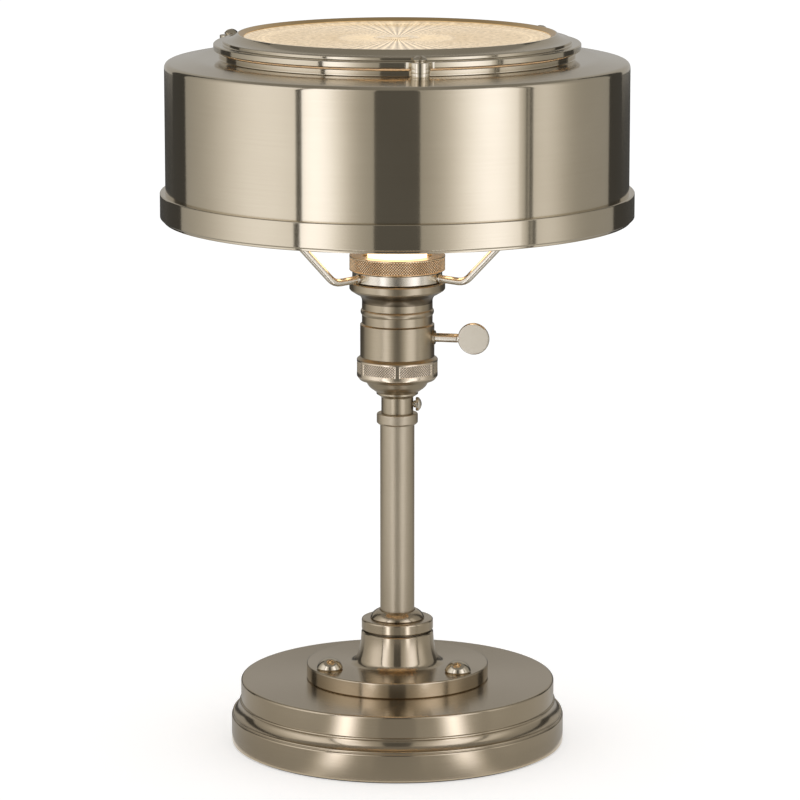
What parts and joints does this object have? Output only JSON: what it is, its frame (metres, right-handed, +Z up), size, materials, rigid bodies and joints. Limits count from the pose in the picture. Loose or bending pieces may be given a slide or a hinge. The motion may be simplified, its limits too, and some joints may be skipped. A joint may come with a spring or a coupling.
{
  "type": "table lamp",
  "caption": "Tabletop searchlight lamp: drum shade with a glass lens on top, spider arms, turn-knob lampholder, plain stem and stepped round base.",
  "frame": {"origin": "on the stem's axis, at the underside of the felt pad", "axes": "+Z up along the stem, +X towards the side of the switch knob, -Y towards the viewer of the picture"},
  "size_m": [0.2086, 0.2086, 0.3186],
  "materials": {
    "satin_nickel": "warm grey brushed antique nickel, clear lacquered",
    "dark_nickel": "antiqued nickel, darker in the recesses",
    "pale_nickel": "pale champagne nickel, polished",
    "zinc_steel": "zinc plated steel",
    "brass": "plain yellow brass",
    "nickel_brass": "thin bright plated cap",
    "cast_iron": "raw casting, dark",
    "felt": "dark grey wool felt",
    "moulding": "black phenolic",
    "fibre": "brown vulcanised fibre",
    "insulation": "cream wire insulation",
    "bushing_black": "black nylon",
    "lens": "pressed clear glass with prismatic ribs, lit from below",
    "bulb_frost": "frosted glass, lit",
    "filament": "glowing coil"
  },
  "bodies": {
    "stand": {"felt_pad": "felt", "bottom_plate": "zinc_steel", "base_cover": "satin_nickel", "base_weight": "cast_iron", "cord_bushing": "bushing_black", "lamp_pipe": "zinc_steel", "pipe_washer": "zinc_steel", "pipe_nut": "zinc_steel", "stem_flange": "satin_nickel", "flange_screws": "satin_nickel", "hub_collar": "satin_nickel", "dome_collar": "satin_nickel", "stem_tube": "satin_nickel", "stem_top_collar": "satin_nickel", "socket_cap": "dark_nickel", "socket_shell": "dark_nickel", "shade_seat": "dark_nickel", "insulating_liner": "fibre", "socket_body": "moulding", "centre_contact": "brass", "screw_shell": "brass", "terminal_screws": "brass", "lead_wires": "insulation", "switch_bushing": "dark_nickel"},
    "switch": {"switch_knob": "pale_nickel", "switch_shaft": "zinc_steel"},
    "thumb_screw": {"set_screw": "pale_nickel"},
    "clamp_ring": {"knurled_ring": "dark_nickel"},
    "shade": {"spider_ring": "pale_nickel", "spider_arm_1": "pale_nickel", "spider_arm_2": "pale_nickel", "spider_arm_3": "pale_nickel", "arm_tabs": "pale_nickel", "shade_drum": "satin_nickel", "shade_top": "satin_nickel", "shade_band": "satin_nickel", "lens_ring": "satin_nickel", "lens_glass": "lens", "lens_retainer": "zinc_steel", "ring_spacers": "satin_nickel", "ring_screws": "satin_nickel", "ring_nuts": "zinc_steel"},
    "bulb": {"bulb_base": "nickel_brass", "bulb_glass": "bulb_frost", "bulb_stem": "bulb_frost", "bulb_filament": "filament"}
  },
  "joints": [
    {"name": "switch_turn", "type": "hinge", "parent": "stand", "child": "switch", "pos_m": [0.02152, -0.00457, 0.1842], "axis": [0.9781, -0.2079, 0], "continuous": true},
    {"name": "thumb_screw_turn", "type": "hinge", "parent": "stand", "child": "thumb_screw", "pos_m": [0.0085, 0, 0.1536], "axis": [1, 0, 0], "range_deg": [0, 540]},
    {"name": "clamp_ring_turn", "type": "hinge", "parent": "stand", "child": "clamp_ring", "pos_m": [0, 0, 0.2174], "axis": [0, 0, 1], "range_deg": [0, 720]},
    {"name": "shade_swivel", "type": "hinge", "parent": "stand", "child": "shade", "pos_m": [0, 0, 0.2115], "axis": [0, 0, 1], "continuous": true},
    {"name": "bulb_turn", "type": "hinge", "parent": "stand", "child": "bulb", "pos_m": [0, 0, 0.2], "axis": [0, 0, 1], "range_deg": [0, 1440]}
  ]
}
